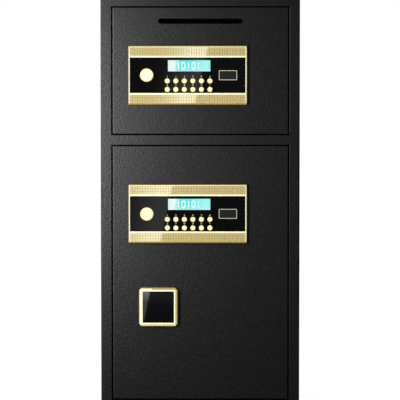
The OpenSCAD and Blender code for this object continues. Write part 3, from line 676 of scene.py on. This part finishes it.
def cover_finish(node):
    """The rim is what lies within COVER_RIM of the cover's sides, top or bottom."""
    low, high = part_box(node)
    middle = (low + high) / 2
    finish = Finish(node + "_finish", specular_ior_level=0.5)
    (x, y, z), vector = finish.place()
    across = abs(x - middle.x) - ((high.x - low.x) / 2 - COVER_RIM + COVER_ROUND)
    upright = abs(z - middle.z) - ((high.z - low.z) / 2 - COVER_RIM + COVER_ROUND)
    rim = across.at_least(upright) > 0.0
    haze = finish.noise(COVER_SCALE, vector=vector)
    field = finish.mix(haze, *COVER_FIELD)
    finish.to("Base Color", finish.mix(rim, field, RIM_TONE))
    finish.to("Roughness", haze * COVER_HAZE + COVER_GLOSS)
    return finish.material


# %% [markdown]
# The displays are lit from behind. The cyan light is uneven: nearly white at the left end where
# the lamp sits, deepest a quarter of the way along, and paler again to the right. A ramp along
# the display says where, and a slow noise softens it.


# %% Lit display
DISPLAY_GLOW = 0.92
DRIFT_ALONG = 0.16
SEEP_SCALE = 90
FOOT_START = 0.32
FOOT_GAIN = 1.1
FOOT_LIGHT = linear(238, 255, 255)
CYANS = [
    (0.0, linear(220, 250, 248)), (0.13, linear(246, 254, 253)), (0.23, linear(122, 240, 222)),
    (0.36, linear(92, 236, 224)), (0.62, linear(118, 242, 236)), (0.80, linear(156, 248, 246)),
    (0.93, linear(168, 249, 248)), (1.0, linear(140, 246, 242)),
]


def display_finish(node):
    """The tone follows CYANS along the display, and pales towards the foot below FOOT_START."""
    low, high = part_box(node)
    dark = {"base_color": (0.01, 0.02, 0.02, 1), "roughness": 0.3}
    finish = Finish(node + "_finish", emission_strength=DISPLAY_GLOW, **dark)
    (x, y, z), vector = finish.place()
    along = (x - low.x) * (1 / (high.x - low.x))
    rise = (z - low.z) * (1 / (high.z - low.z))
    drift = finish.noise(SEEP_SCALE, detail=1.0, vector=vector) * DRIFT_ALONG - DRIFT_ALONG / 2
    glow = finish.ramp(along + drift, CYANS)
    foot = (FOOT_START - rise).at_least(0.0) * FOOT_GAIN
    finish.to("Emission Color", finish.mix(foot, glow, FOOT_LIGHT))
    return finish.material


# %% [markdown]
# Each solid gets its finish. The names say what a piece is, so a table from the end of a name to
# a finish covers both doors. Keys, panel frames, displays and covers aren't in the table: a key
# has a number in its name, and the finish of each of the others is worked out from the piece's
# own box.

# %% Put the finishes on the solids
FINISHES = {
    "cabinet_shell": body_enamel, "front_frame": frame_enamel, "divider": body_enamel,
    "lower_shelf": liner_enamel, "hinge_pins": black_oxide, "deposit_chute": chute_enamel,
    "badge_frame": badge_gold, "badge_glass": badge_black, "door_plate": door_enamel,
    "door_liner": liner_enamel, "panel_glass": panel_black, "knob": knob_gold, "crank": zinc,
    "bolt_carriage": chrome, "solenoid": coil_tape, "plunger": zinc, "lock_plug": brass,
    "battery_lid": black_plastic, "reset_button": red_plastic,
}


def finish_for(name):
    for ending, material in FINISHES.items():
        if name.endswith(ending):
            return material
    if "_key_" in name:
        return key_gold
    if name.endswith("panel_frame"):
        return trim_finish(name)
    return display_finish(name) if name.endswith("display") else cover_finish(name)


def wear(piece, material):
    piece.data.materials.clear()
    piece.data.materials.append(material)


for name, piece in nodes.items():
    wear(piece, finish_for(name))
print(len(bpy.data.materials), "finishes")

# %% [markdown]
# Making a piece from arrays. A surface is worked out as an array of points, and its faces as an
# array of corner numbers. The helper below puts both into a mesh, gives the piece its finish and
# hangs it on the body that carries it.


# %% From arrays to a piece
def add_piece(name, points, faces, body, material, smooth=False):
    mesh = bpy.data.meshes.new(name)
    mesh.from_pydata(np.asarray(points).tolist(), [], [list(face) for face in faces])
    mesh.validate()
    mesh.update()
    mesh.shade_smooth() if smooth else mesh.shade_flat()
    piece = bpy.data.objects.new(name, mesh)
    bpy.context.scene.collection.objects.link(piece)
    wear(piece, material)
    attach(piece, body)
    return piece


def grid_faces(rows, columns, wrap=False):
    """Corner numbers of a grid's cells; wrap joins the last column to the first."""
    row, column = np.mgrid[0:rows - 1, 0:columns if wrap else columns - 1]
    right = (column + 1) % columns
    corners = (row, column), (row, right), (row + 1, right), (row + 1, column)
    return np.stack([r * columns + c for r, c in corners], axis=-1).reshape(-1, 4)


# %% [markdown]
# Milled bands. Above and below the glass each panel has a band of small square pads in straight
# rows, five millimetres apart, with V grooves between them. A band fills the recess between the
# frame's lip and the bead beside the glass. It could be a bump texture, but then the grooves
# would have no depth. The pads' tops are flat and lie in one plane, so that together they still
# mirror the softbox's edge as one line, as the polished bands do. Each cell of a grid has a
# smaller square raised over it: four sloping faces join the two, and a skirt closes the sheet
# below.

# %% Bands of square pads
BEAD_H = 0.00325
LIP_H = 0.003
GLASS_CLEAR = 0.0002
PAD_PITCH = 0.00488
PAD_TOP = 0.90
BAND_FOOT = 0.00005


def milled_band(name, x0, x1, z0, z1, floor_y, body):
    """Grooves lie BAND_FOOT above the floor, and pads, PAD_TOP of a cell wide, PAD_RISE above."""
    columns = round((x1 - x0) / PAD_PITCH)
    rows = round((z1 - z0) / PAD_PITCH)
    x, z = np.linspace(x0, x1, columns + 1), np.linspace(z0, z1, rows + 1)
    groove_x, groove_z = np.meshgrid(x, z)
    groove_y = np.full_like(groove_x, floor_y - BAND_FOOT)
    grooves = np.stack([groove_x, groove_y, groove_z], -1).reshape(-1, 3)
    cells = grid_faces(rows + 1, columns + 1)
    middles = grooves[cells].mean(axis=1, keepdims=True)
    pads = middles + (grooves[cells] - middles) * PAD_TOP
    pads[..., 1] = floor_y - PAD_RISE
    top = len(grooves) + np.arange(4 * len(cells)).reshape(-1, 4)
    next_cells, next_top = np.roll(cells, -1, axis=1), np.roll(top, -1, axis=1)
    slopes = np.stack([cells, next_cells, next_top, top], -1).transpose(1, 0, 2).reshape(-1, 4)
    row = columns + 1
    edge = np.concatenate([
        np.arange(row), row * np.arange(1, rows + 1) + columns,
        row * rows + np.arange(columns - 1, -1, -1), row * np.arange(rows - 1, 0, -1),
    ])
    foot = grooves[edge] + [0, BAND_FOOT, 0]
    first = len(grooves) + 4 * len(cells)
    here = np.arange(len(edge))
    after = np.roll(here, -1)
    skirt = np.stack([edge[here], first + here, first + after, edge[after]], -1)
    back = [list(range(first, first + len(edge)))[::-1]]
    faces = np.concatenate([top, slopes, skirt]).tolist() + back
    points = np.concatenate([grooves, pads.reshape(-1, 3), foot])
    return add_piece(name, points, faces, body, band_finish)


for door in DOORS:
    low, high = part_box(f"{door}_panel_frame")
    glass_low, glass_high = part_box(f"{door}_panel_glass")
    x0, x1 = glass_low.x - GLASS_CLEAR, glass_high.x + GLASS_CLEAR
    sunk_y = low.y + BAND_SINK
    spans = {"lower": (low.z + LIP_H, glass_low.z - GLASS_CLEAR - BEAD_H),
             "upper": (glass_high.z + GLASS_CLEAR + BEAD_H, high.z - LIP_H)}
    for place, (z0, z1) in spans.items():
        band = milled_band(f"{door}_{place}_band", x0, x1, z0, z1, sunk_y, f"{door}_door")
print("faces in a band:", len(band.data.polygons))

# %% [markdown]
# Figures over the keys. Each key has its figure printed on the glass just above it. Blender's own
# plain font gives the outline; it is turned into a mesh and stood up in front of the glass, thin
# as a layer of ink.

# %% Printed figures
INK_THICKNESS = 0.00006
FIGURE_SIZE = 0.0046
FIGURE_RISE = 0.0066
FIGURES = {"enter": "#", "clear": "*"}
ink = worked("figure_ink", (0.62, 0.60, 0.55), (0.70, 0.68, 0.62), 800, 0.5, bump=0.0)


def figure_points(text, size):
    """A piece of text as points and faces, centred across and standing on its base."""
    curve = bpy.data.curves.new("figure", "FONT")
    curve.body, curve.size, curve.align_x = text, size, "CENTER"
    curve.extrude = INK_THICKNESS / 2
    holder = bpy.data.objects.new("figure", curve)
    bpy.context.scene.collection.objects.link(holder)
    bpy.context.view_layer.update()
    graph = bpy.context.evaluated_depsgraph_get()
    mesh = bpy.data.meshes.new_from_object(holder.evaluated_get(graph))
    points = np.zeros(len(mesh.vertices) * 3)
    mesh.vertices.foreach_get("co", points)
    faces = [list(face.vertices) for face in mesh.polygons]
    bpy.data.objects.remove(holder)
    bpy.data.meshes.remove(mesh)
    return points.reshape(-1, 3), faces


def add_figures(door):
    glass_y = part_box(f"{door}_panel_glass")[0].y
    points, faces, count = [], [], 0
    for name in nodes:
        if not name.startswith(f"{door}_key_"):
            continue
        low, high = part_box(name)
        key = name.split("_key_")[1]
        flat, own = figure_points(FIGURES.get(key, key), FIGURE_SIZE)
        middle = (low + high) / 2
        depth = glass_y - INK_THICKNESS / 2 - flat[:, 2]
        height = flat[:, 1] + middle.z + FIGURE_RISE
        stood = np.stack([flat[:, 0] + middle.x, depth, height], -1)
        points.append(stood)
        faces += [[corner + count for corner in face] for face in own]
        count += len(stood)
    points = np.concatenate(points)
    return add_piece(f"{door}_figures", points, faces, f"{door}_door", ink)


for door in DOORS:
    print(add_figures(door).name)

# %% [markdown]
# Digits on the display. A segment display builds every digit from bars with pointed ends. One bar
# is a hexagon; the digit table says which bars are lit. The bars stand a tenth of a millimetre in
# front of the display, as the printed segments of such a module do.

# %% Seven-segment digits
DIGIT_H = 0.0122
DIGIT_W = 0.0056
DIGIT_PITCH = 0.0095
BAR_W = 0.0015
BAR_GAP = 0.0002
DIGIT_SHIFT = -0.0013
DIGIT_TEXT = "10101"
BAR_LIFT = 0.00012
LIT = {"0": "abcdef", "1": "hi"}
BARS = {"a": ((0, 2), (1, 2)), "b": ((1, 2), (1, 1)), "c": ((1, 1), (1, 0)),
        "d": ((0, 0), (1, 0)), "e": ((0, 0), (0, 1)), "f": ((0, 1), (0, 2)),
        "h": ((0.5, 2), (0.5, 1)), "i": ((0.5, 1), (0.5, 0))}
DIGIT_GLOW = 0.95
DIGIT_SCALE = 500
DIGIT_WHITES = linear(226, 234, 255), linear(248, 246, 255)


def digit_finish():
    """Light that wavers between two whites."""
    plain = {"base_color": (0.30, 0.30, 0.36, 1), "roughness": 0.4}
    finish = Finish("digit_light", emission_strength=DIGIT_GLOW, **plain)
    finish.to("Emission Color", finish.mix(finish.noise(DIGIT_SCALE), *DIGIT_WHITES))
    return finish.material


def bar(start, end):
    """A hexagon from start to end: two tips, and four shoulders half a bar's width inside."""
    run = end - start
    length = np.hypot(*run)
    run = run / length
    side = np.array([-run[1], run[0]]) * BAR_W / 2
    a, b = start + run * BAR_GAP, end - run * BAR_GAP
    inner_a, inner_b = a + run * BAR_W / 2, b - run * BAR_W / 2
    return np.array([a, inner_a - side, inner_b - side, b, inner_b + side, inner_a + side])


def add_digits(door, light):
    low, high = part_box(f"{door}_display")
    middle_x, middle_z = (low.x + high.x) / 2 + DIGIT_SHIFT, (low.z + high.z) / 2
    outlines = []
    for place, digit in enumerate(DIGIT_TEXT):
        left = middle_x + (place - len(DIGIT_TEXT) / 2 + 0.5) * DIGIT_PITCH - DIGIT_W / 2
        scale = np.array([DIGIT_W, DIGIT_H / 2])
        corner = np.array([left, middle_z - DIGIT_H / 2])
        for name in LIT[digit]:
            start, end = corner + scale * np.array(BARS[name])
            outlines.append(bar(start, end))
    outline = np.array(outlines)
    front = np.full(outline.shape[:2], low.y - BAR_LIFT)
    face = np.stack([outline[..., 0], front, outline[..., 1]], -1)
    points = np.concatenate([face, face + [0, BAR_LIFT, 0]], axis=1).reshape(-1, 3)
    corners = outline.shape[1]
    first = 2 * corners * np.arange(len(outlines))[:, None]
    k = np.arange(corners)
    after = np.roll(k, -1)
    walls = np.stack([k, k + corners, after + corners, after], -1)
    faces = (first + k).tolist() + (first + 2 * corners - 1 - k).tolist()
    faces += (first[:, :, None] + walls[None]).reshape(-1, 4).tolist()
    return add_piece(f"{door}_digits", points, faces, f"{door}_door", light)


digit_light = digit_finish()
for door in DOORS:
    print(add_digits(door, digit_light).name, "shows", DIGIT_TEXT)

# %% [markdown]
# Screws that hold the liners. Each liner is held by pan-head screws near its edges. A head is a
# dome as a function of radius and angle, with a cross cut into it: wherever a point lies within
# the width of the cross, it drops to the cross's floor. One head is made as arrays and copied to
# each place.

# %% Pan-head screws
HEAD_R = 0.0042
HEAD_H = 0.0021
CROSS_W = 0.0011
CROSS_L = 0.0048
CROSS_DEPTH = 0.0012
SCREW_INSET = 0.009
SCREW_ROWS = {"upper": 3, "lower": 4}
DOME_DROP = 0.55
RIM_SHARE = 0.999
RINGS, SPOKES = 14, 48


def screw_head():
    """Height over the seat: a dome that falls with the cube of the radius, less the cross."""
    share = np.linspace(0.0, 1.0, RINGS)[:, None] * np.ones(SPOKES)
    angle = np.linspace(0, 2 * np.pi, SPOKES, endpoint=False)[None] * np.ones((RINGS, 1))
    x, z = HEAD_R * share * np.cos(angle), HEAD_R * share * np.sin(angle)
    dome = HEAD_H * (1 - DOME_DROP * share**3) * (share < RIM_SHARE)
    arm = (np.minimum(abs(x), abs(z)) < CROSS_W / 2) & (np.maximum(abs(x), abs(z)) < CROSS_L / 2)
    height = dome - CROSS_DEPTH * arm
    return np.stack([x, height, z], -1).reshape(-1, 3), grid_faces(RINGS, SPOKES, wrap=True)


def add_liner_screws(door):
    low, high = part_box(f"{door}_door_liner")
    head, cells = screw_head()
    heights = np.linspace(low.z + SCREW_INSET, high.z - SCREW_INSET, SCREW_ROWS[door])
    places = [(x, z) for x in (low.x + SCREW_INSET, high.x - SCREW_INSET) for z in heights]
    points = np.concatenate([head + [x, high.y, z] for x, z in places])
    faces = np.concatenate([cells[:, ::-1] + i * len(head) for i in range(len(places))]).tolist()
    name, body = f"{door}_liner_screws", f"{door}_door"
    return add_piece(name, points, faces, body, zinc, smooth=True)


for door in DOORS:
    print(add_liner_screws(door).name)

# %% [markdown]
# Softboxes. Far in front of the safe hang two narrow softboxes, one for each lock panel. Each is
# brightest along its right edge and fades to the left, and that edge is the slanted line that the
# glass and the bands show. One large softbox would be simpler, but the line breaks between the
# panels. Where an edge has to hang follows from the law of the mirror. The lamps are kept out of
# the camera's view.

# %% Softboxes
MIRROR_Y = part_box("upper_panel_frame")[0].y
SOFTBOX_Y = -3.0
SOFTBOX_WIDTH = 0.17
SOFTBOX_GLOW = 3.0
HIGHLIGHTS = {"upper": ((0.0283, 0.760), (-0.0242, 0.530)),
              "lower": ((-0.0437, 0.480), (-0.1105, 0.165))}
FADE_WIDTH = {"upper": 0.7, "lower": 0.8}
FADE_POWER = {"upper": 2.0, "lower": 1.0}
FOOT_SPAN = {"upper": (-0.2, -0.1), "lower": (0.13, 0.20)}
FOOT_REST = 0.35


def add_lamp(name, place, size, power, turn):
    """A rectangular lamp that lights the safe and is mirrored in it, but isn't seen itself."""
    lamp = bpy.data.lights.new(name, "AREA")
    lamp.shape, lamp.size, lamp.size_y, lamp.energy = "RECTANGLE", *size, power
    holder = bpy.data.objects.new(name, lamp)
    holder.location, holder.rotation_euler = place, turn
    holder.visible_camera = False
    bpy.context.scene.collection.objects.link(holder)
    return holder


def add_softbox(name, top, low):
    """Its right edge runs where the mirrored camera looks past the two ends of the highlight."""
    eye = np.array(camera.location)
    mirrored_y = 2 * MIRROR_Y - eye[1]
    stretch = (mirrored_y - SOFTBOX_Y) / (mirrored_y - MIRROR_Y)
    eye_xz = eye[[0, 2]]
    top, low = (eye_xz + stretch * (np.array(point) - eye_xz) for point in (top, low))
    length = np.hypot(*(top - low))
    run = (top - low) / length
    left = np.array([-run[1], run[0]])
    middle = (top + low) / 2 + left * SOFTBOX_WIDTH / 2
    turn = (math.pi / 2, math.atan2(run[0], run[1]), 0)
    power = SOFTBOX_GLOW * SOFTBOX_WIDTH * length
    place = middle[0], SOFTBOX_Y, middle[1]
    return add_lamp(name, place, (SOFTBOX_WIDTH, length), power, turn)


def fade(holder, width, power, foot_low, foot_high):
    """The way across as a share of width, to a power, times a foot that is 1 at foot_high."""
    holder.data.use_nodes = True
    tree = holder.data.node_tree
    split = tree.nodes.new("ShaderNodeSeparateXYZ")
    over = tree.nodes.new("ShaderNodeNewGeometry").outputs["Parametric"]
    tree.links.new(over, split.inputs[0])
    across, along = (Value(tree, split.outputs[axis]) for axis in "XY")
    side = (across * (1 / width)).between(0.0, 1.0).math("POWER", power)
    foot = ((along - foot_low) * (1 / (foot_high - foot_low))).between(FOOT_REST, 1.0)
    tree.links.new((side * foot).socket, tree.nodes["Emission"].inputs["Strength"])


for door in DOORS:
    softbox = add_softbox(f"{door}_softbox", *HIGHLIGHTS[door])
    fade(softbox, FADE_WIDTH[door], FADE_POWER[door], *FOOT_SPAN[door])
    print(softbox.name, "at", [round(v, 3) for v in softbox.location])

# %% [markdown]
# The strip lamp. A tall, narrow lamp at the left front gives the enamel its long highlight,
# bright at the left edge and gone by the middle. From the right the panels' glass would mirror it
# as a white patch over keys and display. A photographer would hold a card between the two. Here
# light linking does that: the lamp lights every piece but the glass.


# %% The strip lamp
STRIP_PLACE = (-0.42, -0.90, 0.535)
STRIP_SIZE = (0.12, 0.58)
STRIP_POWER = 6.2
STRIP_TURN = (math.radians(80.5), 0, math.radians(-28.9))


def keep_off(lamp, names):
    """Links the lamp to every piece but these."""
    kept_off = bpy.data.collections.new(lamp.name + "_kept_off")
    for name in names:
        kept_off.objects.link(nodes[name])
    for member in kept_off.collection_objects:
        member.light_linking.link_state = "EXCLUDE"
    lamp.light_linking.receiver_collection = kept_off


strip = add_lamp("strip", STRIP_PLACE, STRIP_SIZE, STRIP_POWER, STRIP_TURN)
keep_off(strip, [name for name in nodes if name.endswith("_glass")])
print(strip.name, "of", STRIP_POWER, "W")

# %% [markdown]
# The room. The camera sees it plain white. What polished surfaces see of it is found by Is Glossy
# Ray: pale at the sides, brighter above than below, and nearly dark straight in front, where a
# studio is dark. All other light that falls on the safe from the room is even.

# %% The room
ROOM_LIGHT = 0.70
CEILING = 0.12
CEILING_RISE = 0.4
FRONT_LIGHT = 0.06
WALL_START = 0.5
WALL_GAIN = 3.0
WALL_LIGHT = 0.60
WALL_RISE = 0.3
WALL_TURN = 0.5


def add_room():
    """White to the camera. A mirror finds it dim in front, paler above, and pale at the sides."""
    world = bpy.data.worlds.new("room")
    bpy.context.scene.world = world
    world.use_nodes = True
    tree = world.node_tree
    path = tree.nodes.new("ShaderNodeLightPath")
    kinds = ("Camera", "Transmission", "Glossy")
    seen, through, glossy = (Value(tree, path.outputs[f"Is {kind} Ray"]) for kind in kinds)
    seen = seen.at_least(through)
    direction = tree.nodes.new("ShaderNodeSeparateXYZ")
    looks = tree.nodes.new("ShaderNodeTexCoord").outputs["Generated"]
    tree.links.new(looks, direction.inputs[0])
    right, back, up = (Value(tree, direction.outputs[axis]) for axis in "XYZ")
    beside = ((back + WALL_START) * WALL_GAIN).between(0.0, 1.0)
    walls = beside * (WALL_LIGHT + up * WALL_RISE - right * WALL_TURN)
    front = (up * CEILING_RISE + FRONT_LIGHT).between(0.0, CEILING)
    mirrored = walls.at_least(front)
    level = seen + (1 - seen) * (glossy * mirrored + (1 - glossy) * ROOM_LIGHT)
    tree.links.new(level.socket, tree.nodes["Background"].inputs["Strength"])
    tree.nodes["Background"].inputs["Color"].default_value = (1, 1, 1, 1)


add_room()
bpy.context.scene.view_settings.view_transform = "Standard"
print("room light", ROOM_LIGHT)

# %% [markdown]
# The floor could be a large white plate, but a plate that is bright enough to look white would
# need strong lamps, and these would bleach the gold. So to the camera a large share of it is
# plain white light, and the rest is a matt plate that takes the safe's shadow. It lies a hair
# below the safe and is clear from below, so that the underside can be looked at.

# %% Floor
FLOOR_SIZE = 6.0
FLOOR_Z = -0.0004
FLOOR_GLOW = 1.15
FLOOR_SHARE = 0.8
FLOOR_TONE = 0.86


def floor_plate():
    """A square of FLOOR_SIZE, just below the safe."""
    half = FLOOR_SIZE / 2
    mesh = bpy.data.meshes.new("floor")
    corners = (-half, -half), (half, -half), (half, half), (-half, half)
    mesh.from_pydata([(x, y, FLOOR_Z) for x, y in corners], [], [(0, 1, 2, 3)])
    floor = bpy.data.objects.new("floor", mesh)
    bpy.context.scene.collection.objects.link(floor)
    return floor


def floor_finish():
    """White light to the camera by FLOOR_SHARE, matt white for the rest, and clear from below."""
    finish = Finish("floor", base_color=(*grey(FLOOR_TONE), 1), roughness=0.9)
    seen = Value(finish.tree, finish.node("LightPath").outputs["Is Camera Ray"])
    below = Value(finish.tree, finish.node("NewGeometry").outputs["Backfacing"])
    glow = finish.node("Emission", sockets={"Color": (1, 1, 1, 1), "Strength": FLOOR_GLOW})
    above = finish.blend(seen * FLOOR_SHARE, finish.shader, glow)
    return finish.show(finish.blend(below, above, finish.node("BsdfTransparent")))


floor = floor_plate()
wear(floor, floor_finish())
floor.visible_glossy = floor.visible_diffuse = False
print("floor at", FLOOR_Z, "m")
